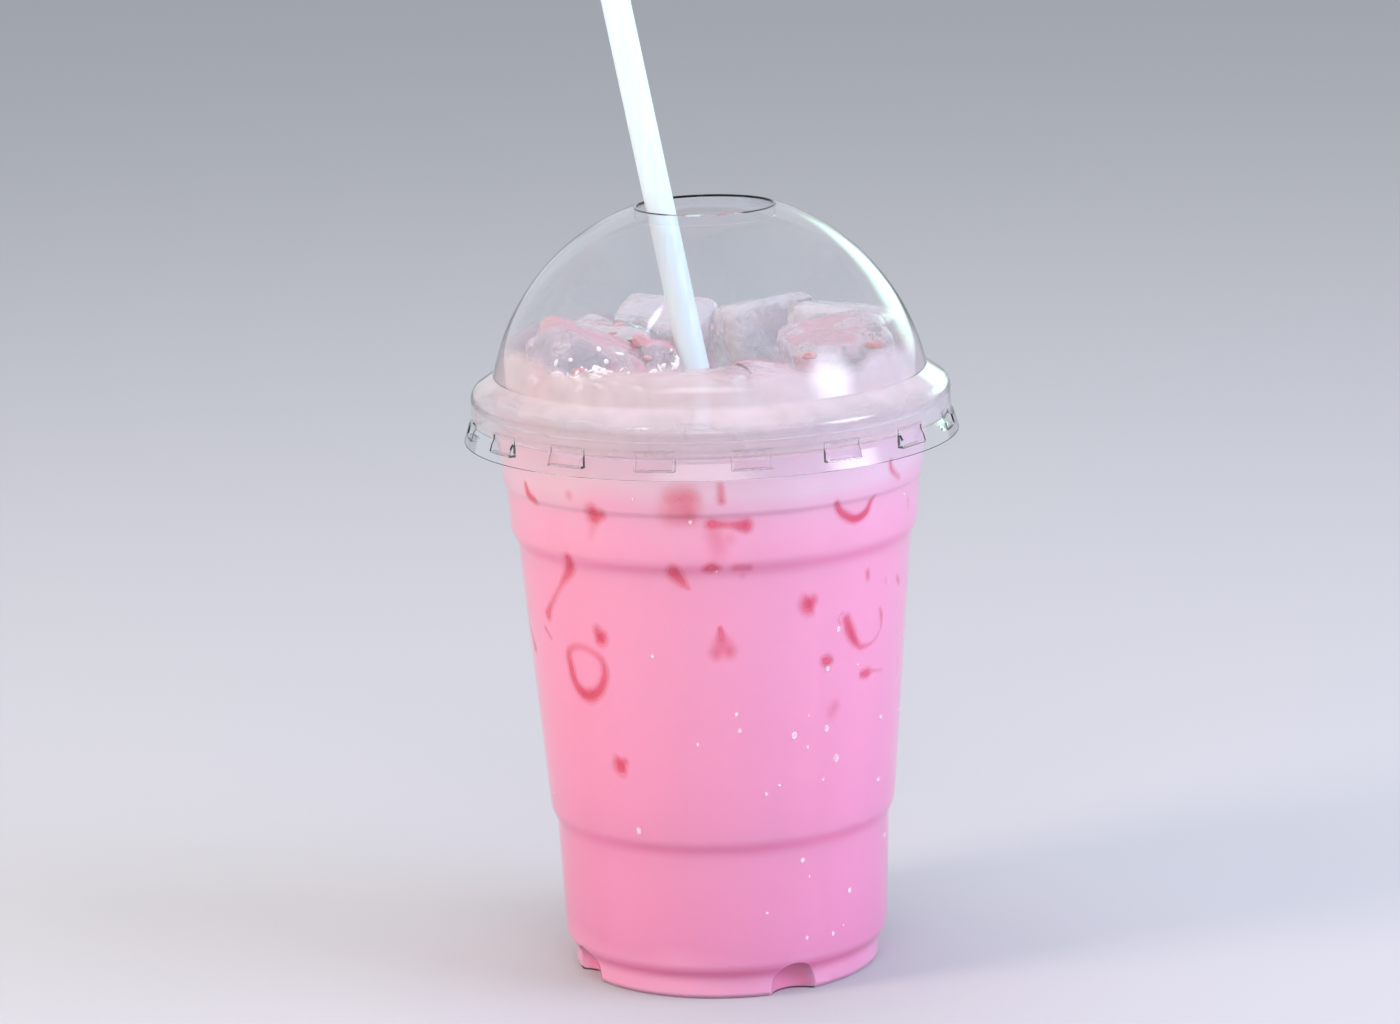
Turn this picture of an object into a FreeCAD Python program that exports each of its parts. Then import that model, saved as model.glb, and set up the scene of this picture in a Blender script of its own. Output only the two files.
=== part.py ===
"""Iced strawberry milk in a clear dome-lidded cup with a straw, in millimetres, +Z up.

The origin is on the cup's axis, at the height of the surface that the cup stands on.
The front is -Y. The cup and its lid are thin formed shells, the drink fills the cup
round the straw and the ice, and the ice that stands out of the drink is one node a piece.
"""
import FreeCAD
import Part
import Sketcher
import math
import os

SHEET = "dims"
FIT_SHEET = "fits"

# Driving sizes: name, value in millimetres (degrees where it says so, or a plain ratio), meaning.
SIZES = (
    ("foot_radius", 32.1, "outer radius of the foot"),
    ("foot_round", 1.0, "rounding of the foot's edge"),
    ("ring_width", 6.1, "width of the resting ring, from the push-up out to the foot"),
    ("recess_run", 1.4, "how far the push-up's wall leans in"),
    ("recess_depth", 2.5, "height of the push-up"),
    ("heel_above", 5.75, "from the base up to the middle of the step over the foot"),
    ("heel_rise", 2.3, "height over which that step goes out"),
    ("heel_width", 1.9, "how far that step goes out"),
    ("heel_blend", 4.0, "rounding of that step's two corners"),
    ("heel_taper", 0.0402, "ratio, how the wall over that step widens"),
    ("lower_above", 27.25, "from there up to the middle of the lower step"),
    ("lower_rise", 2.5, "height over which that step goes out"),
    ("lower_width", 1.25, "how far that step goes out"),
    ("lower_blend", 5.5, "rounding of that step's two corners"),
    ("lower_taper", 0.0822, "ratio, how the wall over that step widens"),
    ("upper_above", 59.75, "from there up to the middle of the upper step"),
    ("upper_rise", 2.7, "height over which that step goes out"),
    ("upper_width", 1.4, "how far that step goes out"),
    ("upper_blend", 6.0, "rounding of that step's two corners"),
    ("upper_taper", 0.0725, "ratio, how the wall over that step widens"),
    ("fill_above", 11.5, "from there up to the middle of the small step under the lid"),
    ("fill_rise", 1.0, "height over which that step goes out"),
    ("fill_width", 0.6, "how far that step goes out"),
    ("fill_blend", 1.8, "rounding of that step's two corners"),
    ("fill_taper", 0.093, "ratio, how the wall over that step widens"),
    ("cup_wall", 0.4, "thickness of the cup"),
    ("curl_above", 17.35, "from there up to the centre of the rolled rim"),
    ("curl_radius", 2.1, "outer radius of the rolled rim's section"),
    ("flute_radius", 5.8, "radius of a hollow flute in the foot"),
    ("flute_out", 2.4, "from the foot's outside out to a flute's axis"),
    ("flute_height", 1.0, "height at which a flute starts to round over"),
    ("flute_turn", 24.7, "degrees, direction of the first flute from +X"),
    ("lid_wall", 0.4, "thickness of the lid"),
    ("lid_gap", 0.25, "gap between the rolled rim and the lid's bead"),
    ("shoulder_angle", 35.0, "degrees, slope of the lid's shoulder"),
    ("shoulder_width", 4.8, "from the outside of the bead to the foot of the dome"),
    ("bead_drop", 4.4, "from the centre of the rolled rim down to the foot of the bead"),
    ("ledge_drop", 1.0, "from the foot of the bead down to the ledge under it"),
    ("ledge_width", 0.6, "how far that ledge stands out from the bead"),
    ("skirt_drop", 3.2, "from the ledge down to the skirt's edge"),
    ("skirt_flare", 1.0, "how far the skirt's edge stands out from the ledge"),
    ("window_width", 7.5, "width of a pressed-in window in the bead's foot"),
    ("window_height", 3.3, "height of a window"),
    ("window_depth", 0.45, "how far a window is pressed in from the bead"),
    ("window_drop", 5.05, "from the centre of the rolled rim down to the middle of a window"),
    ("window_turn", 8.9, "degrees, direction of the first window from +X"),
    ("dome_rise", 36.3, "height of the whole dome over its foot, as if it had no hole"),
    ("hole_radius", 14.6, "outer radius of the collar round the hole"),
    ("collar_height", 2.3, "height of the collar, which is turned down into the dome"),
    ("straw_radius", 3.0, "outer radius of the straw"),
    ("straw_wall", 0.25, "thickness of the straw"),
    ("straw_length", 210.0, "length of the straw"),
    ("straw_inset", 2.1, "from the edge of the raised floor in to the middle of the straw's foot"),
    ("straw_turn", -32.3, "degrees, direction of the straw's foot from +X"),
    ("straw_gap", 0.05, "gap at the straw's foot and where it leans on the collar"),
    ("headspace", 6.0, "from the drink's level up to the centre of the rolled rim"),
    ("ice_size", 22.0, "edge of a piece of ice"),
    ("ice_small", 17.0, "edge of the small piece of ice in the middle"),
    ("ice_round", 3.5, "rounding of the ice's edges"),
    ("ice_inset", 15.0, "from the cup's wall in to the middle of a piece of ice"),
    ("ice_gap", 0.3, "gap between the ice and the cup, the lid or the straw"),
)

# The steps of the cup's wall, from the foot up, and the name of the wall's taper over each.
STEPS = ("heel", "lower", "upper", "fill")

FLUTE_COUNT = 4
WINDOW_COUNT = 16

# Ice: name, size, degrees from +X, distance further in than the inset, height of its middle
# over the drink's level, then yaw, pitch and roll in degrees. A piece is melted away where it
# meets a piece that is listed before it.
ICE = (
    ("ice_left", "ice_size", 188.0, 2.5, 9.1, 8.0, 22.0, 4.0),
    ("ice_right", "ice_size", 337.0, 1.0, 10.0, 12.0, -7.0, 9.0),
    ("ice_far_right", "ice_size", 19.0, 0.5, 10.6, -18.0, 6.0, -5.0),
    ("ice_front_left", "ice_size", 232.0, 0.5, 3.8, 28.0, 6.0, -8.0),
    ("ice_front", "ice_size", 266.0, 0.0, 4.4, -6.0, -5.0, -6.0),
    ("ice_front_right", "ice_size", 301.0, 0.0, 3.4, 20.0, 8.0, 5.0),
    ("ice_side", "ice_size", 147.0, 0.0, 6.0, 40.0, -9.0, 6.0),
    ("ice_back_left", "ice_size", 110.0, 1.0, 8.8, -14.0, 5.0, 12.0),
    ("ice_back_right", "ice_size", 66.0, 1.0, 9.6, 22.0, -6.0, -10.0),
    ("ice_middle", "ice_small", 160.0, 17.0, 7.6, 30.0, 14.0, -9.0),
)

doc = FreeCAD.newDocument("StrawberryMilk")


def make_sheet(name, rows):
    """Make a sheet with one row for each name: its name, its value or formula, its meaning."""
    sheet = doc.addObject("Spreadsheet::Sheet", name)
    for number, (alias, value, meaning) in enumerate(rows, start=1):
        sheet.set(f"A{number}", alias)
        sheet.set(f"B{number}", str(value))
        sheet.setAlias(f"B{number}", alias)
        sheet.set(f"C{number}", meaning)
    return sheet


def wall_formulas():
    """Rows for the wall's radius under and over each step, and at the rolled rim."""
    rows = []
    radius = "dims.foot_radius"
    for index, step in enumerate(STEPS):
        if index:
            below = STEPS[index - 1]
            rows.append((f"{step}_height", f"={below}_height + dims.{step}_above", f"{step} step's middle"))
            length = f"dims.{step}_above - dims.{step}_rise / 2 - dims.{below}_rise / 2"
            radius = f"{below}_top + dims.{below}_taper * ({length})"
        else:
            rows.append((f"{step}_height", f"=dims.{step}_above", f"{step} step's middle"))
        rows.append((f"{step}_foot", f"={radius}", f"wall radius under the {step} step"))
        rows.append((f"{step}_top", f"={step}_foot + dims.{step}_width", f"and over the {step} step"))
    last = STEPS[-1]
    rows.append(("curl_height", f"={last}_height + dims.curl_above", "centre of the rolled rim"))
    length = f"dims.curl_above - dims.{last}_rise / 2"
    rows.append(("wall_top", f"={last}_top + dims.{last}_taper * ({length})", "wall radius at the rim"))
    return rows


# Sizes that follow from the driving sizes.
FITS = wall_formulas() + [
    ("bore_top", "=wall_top - dims.cup_wall", "inner radius of the cup at the rim"),
    ("curl_centre", "=bore_top + dims.curl_radius", "radius of the rolled rim's centre line"),
    ("bead_round", "=dims.curl_radius + dims.lid_gap", "inner rounding of the lid's bead"),
    ("bead_bore", "=curl_centre + bead_round", "inner radius of the lid's bead"),
    ("bead_radius", "=bead_bore + dims.lid_wall", "outer radius of the lid's bead"),
    (
        "bead_corner",
        "=curl_height + (bead_round + dims.lid_wall) * tan(45 - dims.shoulder_angle / 2)",
        "height where the bead and the shoulder would meet unrounded",
    ),
    ("dome_foot", "=bead_radius - dims.shoulder_width", "outer radius of the dome's foot"),
    (
        "dome_base",
        "=bead_corner + dims.shoulder_width * tan(dims.shoulder_angle)",
        "height of the dome's foot",
    ),
    (
        "dome_radius",
        "=(dome_foot ^ 2 + dims.dome_rise ^ 2) / (2 * dims.dome_rise)",
        "outer radius of the dome's sphere",
    ),
    ("dome_centre", "=dome_base + dims.dome_rise - dome_radius", "height of the sphere's centre"),
    (
        "dome_bore",
        "=sqrt((dome_radius - dims.lid_wall) ^ 2 - (dome_base - dome_centre) ^ 2)",
        "inner radius of the dome's foot",
    ),
    (
        "shoulder_drop",
        "=dims.lid_wall * (1 / cos(dims.shoulder_angle) - tan(dims.shoulder_angle))",
        "how much lower the shoulder's inner line meets the walls",
    ),
    ("bead_foot", "=curl_height - dims.bead_drop", "height of the bead's foot"),
    ("skirt_foot", "=bead_foot - dims.ledge_drop - dims.skirt_drop", "height of the skirt's edge"),
    ("skirt_radius", "=bead_radius + dims.ledge_width + dims.skirt_flare", "outer radius of that edge"),
    ("hole_height", "=dome_centre + sqrt(dome_radius ^ 2 - dims.hole_radius ^ 2)", "height of the hole"),
    ("recess_radius", "=dims.foot_radius - dims.ring_width", "radius of the push-up at the base"),
    ("flute_reach", "=dims.foot_radius + dims.flute_out", "from the cup's axis to a flute's axis"),
    (
        "straw_foot",
        "=recess_radius - dims.recess_run + dims.cup_wall - dims.straw_inset",
        "from the cup's axis to the middle of the straw's foot",
    ),
    ("floor_height", "=dims.recess_depth + dims.cup_wall", "height of the floor inside the cup"),
    ("level", "=curl_height - dims.headspace", "height of the drink's surface"),
]

dims = make_sheet(SHEET, SIZES)
doc.recompute()
fits = make_sheet(FIT_SHEET, FITS)
doc.recompute()


def size(name):
    """Value of a driving size or of one that follows from them."""
    sheet = dims if name in [row[0] for row in SIZES] else fits
    return float(sheet.get(name))


def bind(target, **expressions):
    """Bind properties of an object to expressions on the sheets."""
    for prop, expression in expressions.items():
        target.setExpression(prop, expression)
    return target


def origin_plane(body, role):
    """One of a body's own origin planes."""
    return next(item for item in body.Origin.OriginFeatures if item.Role == role)


def turned_body(name, corners):
    """Turned solid whose outline runs through corners (radius, height, rounding or None).

    Radius, height and rounding are expressions on the sheets; a radius of "0" lies on the
    axis. Each rounding is a fillet of the turned solid's edge at that corner.
    """
    body = doc.addObject("PartDesign::Body", name)
    sketch = body.newObject("Sketcher::SketchObject", f"{name}_outline")
    sketch.AttachmentSupport = (origin_plane(body, "XZ_Plane"), "")
    sketch.MapMode = "FlatFace"
    count = len(corners)
    # The first guess is a regular polygon, which the constraints then pull into shape.
    guess = [
        FreeCAD.Vector(60 + 40 * math.cos(turn), 60 + 40 * math.sin(turn), 0)
        for turn in (2 * math.pi * index / count for index in range(count))
    ]
    for index in range(count):
        sketch.addGeometry(Part.LineSegment(guess[index], guess[(index + 1) % count]), False)
    for index in range(count):
        join = Sketcher.Constraint("Coincident", index, 2, (index + 1) % count, 1)
        sketch.addConstraint(join)
    for index, (radius, height, _) in enumerate(corners):
        for axis, expression, datum in (("X", radius, guess[index].x), ("Y", height, guess[index].y)):
            if expression == "0":
                line = {"X": -2, "Y": -1}[axis]
                sketch.addConstraint(Sketcher.Constraint("PointOnObject", index, 1, line))
                continue
            number = sketch.addConstraint(
                Sketcher.Constraint(f"Distance{axis}", -1, 1, index, 1, datum)
            )
            sketch.setExpression(f"Constraints[{number}]", expression)
    doc.recompute()
    turn = body.newObject("PartDesign::Revolution", f"{name}_turned")
    turn.Profile = sketch
    turn.ReferenceAxis = (sketch, ["V_Axis"])
    turn.Angle = 360
    doc.recompute()
    feature = turn
    for index, (_, _, rounding) in enumerate(corners):
        if rounding is None:
            continue
        corner = sketch.Geometry[index].StartPoint
        fillet = body.newObject("PartDesign::Fillet", f"{name}_round_{index}")
        fillet.Base = (feature, [ring_edge(feature.Shape, corner.x, corner.y)])
        bind(fillet, Radius=rounding)
        doc.recompute()
        feature = fillet
    body.Tip = feature
    return body


def ring_edge(shape, radius, height):
    """Name of the circular edge of a turned shape at a radius and a height."""
    tolerance = 1e-3
    for number, edge in enumerate(shape.Edges, start=1):
        curve = edge.Curve
        if not isinstance(curve, Part.Circle):
            continue
        if abs(curve.Radius - radius) < tolerance and abs(curve.Center.z - height) < tolerance:
            return f"Edge{number}"
    raise RuntimeError(f"no ring at radius {radius:.2f}, height {height:.2f}")


def boolean(kind, name, base, tools):
    """Part boolean of a base and tools: "Cut", "Common" or "Fuse"."""
    tool = tools[0]
    if len(tools) > 1:
        tool = doc.addObject("Part::MultiFuse", f"{name}_tools")
        tool.Shapes = tools
    result = doc.addObject(f"Part::{kind}", name)
    result.Base = base
    result.Tool = tool
    doc.recompute()
    return result


def cup_line(inset):
    """Corners of the cup's wall from the middle of its base to its top, drawn in by inset."""
    corners = [
        ("0", f"dims.recess_depth + {inset}", None),
        (f"fits.recess_radius - dims.recess_run + {inset}", f"dims.recess_depth + {inset}", None),
        (f"fits.recess_radius + {inset}", inset, None),
        (f"dims.foot_radius - {inset}", inset, f"dims.foot_round - {inset} / 2"),
    ]
    for step in STEPS:
        for end, sign in (("foot", "-"), ("top", "+")):
            radius = f"fits.{step}_{end} - {inset}"
            height = f"fits.{step}_height {sign} dims.{step}_rise / 2"
            corners.append((radius, height, f"dims.{step}_blend"))
    corners.append((f"fits.wall_top - {inset}", "fits.curl_height", None))
    return corners


def flute_rods(name, inset):
    """Upright rods with round tops, one at each flute of the foot, thicker by inset."""
    rods = []
    for number in range(FLUTE_COUNT):
        turn = f"dims.flute_turn + {number * 360 / FLUTE_COUNT}"
        across = f"fits.flute_reach * cos({turn})"
        along = f"fits.flute_reach * sin({turn})"
        column = doc.addObject("Part::Cylinder", f"{name}_column_{number}")
        bind(column, Radius=f"dims.flute_radius + {inset}", Height="2 * dims.flute_height")
        bind(column, **{"Placement.Base.x": across, "Placement.Base.y": along})
        bind(column, **{"Placement.Base.z": "-dims.flute_height"})
        crown = doc.addObject("Part::Sphere", f"{name}_crown_{number}")
        bind(crown, Radius=f"dims.flute_radius + {inset}")
        bind(crown, **{"Placement.Base.x": across, "Placement.Base.y": along})
        bind(crown, **{"Placement.Base.z": "dims.flute_height"})
        rods += [column, crown]
    return rods


def cup_form(name, inset):
    """Solid as large as the cup drawn in all round by inset, with its flutes."""
    form = turned_body(f"{name}_form", cup_line(inset) + [("0", "fits.curl_height", None)])
    return boolean("Cut", name, form, flute_rods(name, inset))


def make_cup():
    """Thin wall with four flutes pressed into its foot, and the rolled rim."""
    core = turned_body("cup_core", cup_line("0") + [("0", "fits.curl_height", None)])
    wall = turned_body("cup_wall", cup_line("0") + cup_line("dims.cup_wall")[::-1])
    linings = boolean("Common", "flute_linings", core, flute_rods("lining", "dims.cup_wall"))
    roll = doc.addObject("Part::Torus", "curl_outer")
    bind(roll, Radius1="fits.curl_centre", Radius2="dims.curl_radius")
    hollow = doc.addObject("Part::Torus", "curl_inner")
    bind(hollow, Radius1="fits.curl_centre", Radius2="dims.curl_radius - dims.cup_wall")
    for ring in (roll, hollow):
        bind(ring, **{"Placement.Base.z": "fits.curl_height"})
    # The rim is rolled from the top of the wall over to the underside, three quarters round.
    opening = doc.addObject("Part::Cylinder", "curl_opening")
    bind(opening, Radius="fits.curl_centre", Height="2 * dims.curl_radius")
    bind(opening, **{"Placement.Base.z": "fits.curl_height - 2 * dims.curl_radius"})
    curl = boolean("Cut", "curl", roll, [hollow, opening])
    lined = boolean("Fuse", "cup_lined", wall, [linings, curl])
    return boolean("Cut", "cup", lined, flute_rods("flute", "0"))


def make_lid():
    """Dome with a collared hole, on a shoulder, a bead that holds the rim, and a flared skirt."""
    drop = "fits.shoulder_drop"
    ledge = "fits.bead_foot - dims.ledge_drop"
    outer_line = [
        ("fits.skirt_radius", "fits.skirt_foot", None),
        ("fits.bead_radius + dims.ledge_width", ledge, None),
        ("fits.bead_radius", "fits.bead_foot", None),
        ("fits.bead_radius", "fits.bead_corner", "fits.bead_round + dims.lid_wall"),
        ("fits.dome_foot", "fits.dome_base", None),
    ]
    inner_line = [
        ("fits.dome_bore", "fits.dome_base", None),
        ("fits.dome_bore", f"fits.dome_base - {drop}", None),
        ("fits.bead_bore", f"fits.bead_corner - {drop}", "fits.bead_round"),
        ("fits.bead_bore", "fits.bead_foot", None),
        ("fits.bead_bore + dims.ledge_width", ledge, None),
        ("fits.skirt_radius - dims.lid_wall", "fits.skirt_foot", None),
    ]
    axis_line = [("0", "fits.dome_base", None), ("0", "fits.skirt_foot", None)]
    skirt = turned_body("lid_skirt", outer_line + inner_line)
    core = turned_body("lid_core", outer_line + axis_line)
    dome = doc.addObject("Part::Sphere", "dome_outer")
    bind(dome, Radius="fits.dome_radius")
    bind(dome, Angle1="asin((fits.dome_base - fits.dome_centre) / fits.dome_radius)")
    hollow = doc.addObject("Part::Sphere", "dome_inner")
    bind(hollow, Radius="fits.dome_radius - dims.lid_wall")
    for ball in (dome, hollow):
        bind(ball, **{"Placement.Base.z": "fits.dome_centre"})
    hole = doc.addObject("Part::Cylinder", "hole")
    bind(hole, Radius="dims.hole_radius - dims.lid_wall / 2", Height="dims.dome_rise")
    bind(hole, **{"Placement.Base.z": "fits.dome_base"})
    cap = boolean("Cut", "dome", dome, [hollow, hole])
    collar_outer = doc.addObject("Part::Cylinder", "collar_outer")
    bind(collar_outer, Radius="dims.hole_radius", Height="dims.collar_height")
    collar_inner = doc.addObject("Part::Cylinder", "collar_inner")
    bind(collar_inner, Radius="dims.hole_radius - dims.lid_wall", Height="dims.collar_height")
    for ring in (collar_outer, collar_inner):
        bind(ring, **{"Placement.Base.z": "fits.hole_height - dims.collar_height"})
    collar = boolean("Cut", "collar", collar_outer, [collar_inner])
    # Each window is pressed in from outside: a small tray with the lid's wall all round it.
    blocks = window_boxes("window_tray", "lid_wall")
    trays = boolean("Common", "window_trays", core, blocks)
    shell = boolean("Fuse", "lid_shell", cap, [skirt, collar, trays])
    return boolean("Cut", "lid", shell, window_boxes("window_hollow", None))


def window_boxes(name, rim):
    """Boxes round the lid's bead, one at each window, larger all round by the size named rim."""
    margin = size(rim) if rim else 0.0
    extra = f"dims.{rim}" if rim else "0"
    boxes = []
    for number in range(WINDOW_COUNT):
        box = doc.addObject("Part::Box", f"{name}_{number}")
        bind(box, Width=f"dims.window_width + 2 * {extra}", Height=f"dims.window_height + 2 * {extra}")
        bind(box, Length=f"fits.skirt_radius - fits.bead_radius + dims.window_depth + {extra}")
        corner = FreeCAD.Vector(
            size("bead_radius") - size("window_depth") - margin,
            -size("window_width") / 2 - margin,
            size("curl_height") - size("window_drop") - size("window_height") / 2 - margin,
        )
        turn = FreeCAD.Rotation(
            FreeCAD.Vector(0, 0, 1), size("window_turn") + number * 360 / WINDOW_COUNT
        )
        box.Placement = FreeCAD.Placement(turn.multVec(corner), turn)
        boxes.append(box)
    doc.recompute()
    return boxes


def straw_placement():
    """Where the straw stands: its foot on the floor, its side on the upper edge of the collar."""
    reach = size("hole_radius") - size("lid_wall") - size("straw_gap")
    floor = size("floor_height") + size("straw_gap")
    radius = size("straw_radius")
    tilt = 0.0
    # The foot and the side both shift with the tilt, so it is found in a few rounds.
    for _ in range(20):
        foot_height = floor + radius * math.sin(tilt)
        lean = reach - radius / math.cos(tilt)
        tilt = math.atan((size("straw_foot") + lean) / (size("hole_height") - foot_height))
    direction = math.radians(size("straw_turn"))
    across = FreeCAD.Vector(math.cos(direction), math.sin(direction), 0)
    foot = across * size("straw_foot")
    foot.z = foot_height
    axis = FreeCAD.Vector(0, 0, 1).cross(across)
    return FreeCAD.Placement(foot, FreeCAD.Rotation(axis, -math.degrees(tilt)))


def make_straw(placement):
    """Round tube, cut square at both ends."""
    body = doc.addObject("PartDesign::Body", "straw")
    sketch = body.newObject("Sketcher::SketchObject", "straw_section")
    sketch.AttachmentSupport = (origin_plane(body, "XY_Plane"), "")
    sketch.MapMode = "FlatFace"
    centre = FreeCAD.Vector(0, 0, 0)
    upright = FreeCAD.Vector(0, 0, 1)
    for expression in ("dims.straw_radius", "dims.straw_radius - dims.straw_wall"):
        ring = sketch.addGeometry(Part.Circle(centre, upright, size("straw_radius")), False)
        sketch.addConstraint(Sketcher.Constraint("Coincident", ring, 3, -1, 1))
        number = sketch.addConstraint(Sketcher.Constraint("Radius", ring, size("straw_radius")))
        sketch.setExpression(f"Constraints[{number}]", expression)
    doc.recompute()
    tube = body.newObject("PartDesign::Pad", "straw_tube")
    tube.Profile = sketch
    bind(tube, Length="dims.straw_length")
    body.Tip = tube
    body.Placement = placement
    doc.recompute()
    return body


def make_straw_way(name, gap, placement):
    """Solid rod that the straw takes up in the drink or the ice, with a gap round it."""
    rod = doc.addObject("Part::Cylinder", name)
    bind(rod, Radius=f"dims.straw_radius + {gap}", Height="dims.straw_length")
    rod.Placement = placement
    return rod


def make_ice_room():
    """Space that the ice may take: the cup's inside and the dome's, less a gap."""
    below = cup_form("room_cup", "(dims.cup_wall + dims.ice_gap)")
    ball = doc.addObject("Part::Sphere", "room_ball")
    bind(ball, Radius="fits.dome_radius - dims.lid_wall - dims.ice_gap")
    bind(ball, **{"Placement.Base.z": "fits.dome_centre"})
    column = doc.addObject("Part::Cylinder", "room_column")
    bind(column, Radius="fits.bore_top - dims.ice_gap", Height="dims.dome_rise + fits.dome_base")
    bind(column, **{"Placement.Base.z": "fits.curl_height"})
    above = boolean("Common", "room_dome", ball, [column])
    return boolean("Fuse", "room", below, [above])


def ice_block(name, edge, placement):
    """Cube with rounded edges, centred on its placement."""
    body = doc.addObject("PartDesign::Body", f"{name}_block")
    cube = body.newObject("PartDesign::AdditiveBox", f"{name}_cube")
    bind(cube, Length=f"dims.{edge}", Width=f"dims.{edge}", Height=f"dims.{edge}")
    half = f"-dims.{edge} / 2"
    bind(cube, **{f"Placement.Base.{axis}": half for axis in "xyz"})
    doc.recompute()
    rounded = body.newObject("PartDesign::Fillet", f"{name}_rounded")
    rounded.Base = (cube, [f"Edge{number}" for number in range(1, 13)])
    bind(rounded, Radius="dims.ice_round")
    body.Tip = rounded
    body.Placement = placement
    doc.recompute()
    return body


def make_ice(room, straw_way):
    """The ice that stands out of the drink, each piece melted to those it touches."""
    pieces = []
    for name, edge, bearing, further_in, lift, yaw, pitch, roll in ICE:
        reach = size("bore_top") - size("ice_inset") - further_in
        direction = math.radians(bearing)
        centre = FreeCAD.Vector(
            reach * math.cos(direction), reach * math.sin(direction), size("level") + lift
        )
        placement = FreeCAD.Placement(centre, FreeCAD.Rotation(yaw, pitch, roll))
        block = ice_block(name, edge, placement)
        kept = boolean("Common", f"{name}_in_room", block, [room])
        near = [
            other
            for other in pieces + [straw_way]
            if other.Shape.BoundBox.intersect(block.Shape.BoundBox)
        ]
        pieces.append(boolean("Cut", name, kept, near))
    return pieces


def make_drink(inside, ice, straw_way):
    """The drink: what the cup holds up to its level, less the ice and the straw."""
    above = doc.addObject("Part::Cylinder", "above_level")
    bind(above, Radius="2 * fits.bead_radius", Height="fits.curl_height")
    bind(above, **{"Placement.Base.z": "fits.level"})
    return boolean("Cut", "drink", inside, [above, straw_way] + ice)


def export(nodes):
    """Check every object, then write one file for each node."""
    doc.recompute()
    for item in doc.Objects:
        if {"Invalid", "Error"} & set(item.State):
            raise RuntimeError(f"{item.Name}: {item.State}")
    os.makedirs("parts", exist_ok=True)
    for name, item in nodes.items():
        item.Label = name
        shape = item.Shape
        if shape.isNull() or not shape.isValid() or len(shape.Solids) != 1:
            raise RuntimeError(f"{name}: not one valid solid")
        shape.exportStep(os.path.join("parts", f"{name}.step"))
        box = shape.BoundBox
        print(f"{name}: {shape.Volume:.0f} mm3, z {box.ZMin:.2f} to {box.ZMax:.2f}")


inside = cup_form("cup_inside", "dims.cup_wall")
standing = straw_placement()
straw = make_straw(standing)
ice_straw_way = make_straw_way("ice_straw_way", "dims.ice_gap", standing)
drink_straw_way = make_straw_way("drink_straw_way", "0", standing)
doc.recompute()
ice = make_ice(make_ice_room(), ice_straw_way)
nodes = {
    "cup": make_cup(),
    "lid": make_lid(),
    "straw": straw,
    "drink": make_drink(inside, ice, drink_straw_way),
}
nodes.update({row[0]: piece for row, piece in zip(ICE, ice)})
export(nodes)
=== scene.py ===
import math
import random

import bmesh
import bpy
import numpy as np
from mathutils import Matrix, Vector
from mathutils.bvhtree import BVHTree


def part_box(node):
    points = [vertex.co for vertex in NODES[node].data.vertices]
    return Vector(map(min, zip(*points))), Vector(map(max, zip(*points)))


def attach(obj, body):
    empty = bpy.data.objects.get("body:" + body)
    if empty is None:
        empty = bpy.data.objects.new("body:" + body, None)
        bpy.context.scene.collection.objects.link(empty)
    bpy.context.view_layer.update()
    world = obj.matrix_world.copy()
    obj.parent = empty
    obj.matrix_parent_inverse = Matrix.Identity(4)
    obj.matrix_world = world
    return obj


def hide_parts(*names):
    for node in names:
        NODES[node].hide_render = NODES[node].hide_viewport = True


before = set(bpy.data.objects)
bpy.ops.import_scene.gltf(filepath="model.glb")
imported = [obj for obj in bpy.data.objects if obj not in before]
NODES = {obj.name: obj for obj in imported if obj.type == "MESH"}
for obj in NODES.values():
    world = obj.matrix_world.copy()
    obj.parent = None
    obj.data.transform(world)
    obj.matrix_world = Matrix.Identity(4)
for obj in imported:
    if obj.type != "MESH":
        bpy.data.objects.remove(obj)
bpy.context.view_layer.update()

# Looks of an iced strawberry latte: clear cup and lid, straw, milk and ice. Metres, Z up.
MM = 0.001
AXIS_UP = Vector((0, 0, 1))
MILK_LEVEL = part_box("drink")[1][2]
MILK_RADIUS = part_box("drink")[1][0]
CUP_MIDDLE = (0, 0, 90 * MM)

ICE_NODES = sorted(name for name in NODES if name.startswith("ice_"))
FROSTED = ("ice_back_left", "ice_back_right", "ice_side", "ice_far_right")
MILKY = ("ice_left", "ice_middle")

# Search rays start this far from the axis, outside every wall, and this far before the ice.
OUTSIDE = 90 * MM
BEFORE_THE_ICE = 60 * MM
INTO_THE_ICE = Vector((0, 0.97, -0.22)).normalized()


# ---------------------------------------------------------------- helpers

def colour(hex_text):
    """Linear colour of an sRGB hex value such as "F4A3C0"."""
    parts = [int(hex_text[i:i + 2], 16) / 255 for i in (0, 2, 4)]
    linear = [c / 12.92 if c <= 0.04045 else ((c + 0.055) / 1.055) ** 2.4 for c in parts]
    return (*linear, 1.0)


def grey(value):
    """Opaque grey for a ramp that stands for a number."""
    return (value, value, value, 1.0)


def pattern_scale(size_mm):
    """Scale of a noise whose lumps are about this many millimetres across."""
    return 1 / (size_mm * MM)


def add(tree, kind, settings=None, **inputs):
    """Add a node of a kind with its settings; inputs are values or other nodes' outputs.

    An input's name is the socket's, with _ for a space, or its number as in_0, in_1.
    """
    item = tree.nodes.new(kind)
    for name, value in (settings or {}).items():
        setattr(item, name, value)
    for name, value in inputs.items():
        key = int(name[3:]) if name.startswith("in_") else name.replace("_", " ")
        socket = item.inputs[key]
        if isinstance(value, bpy.types.NodeSocket):
            tree.links.new(value, socket)
        else:
            socket.default_value = value
    return item


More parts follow.
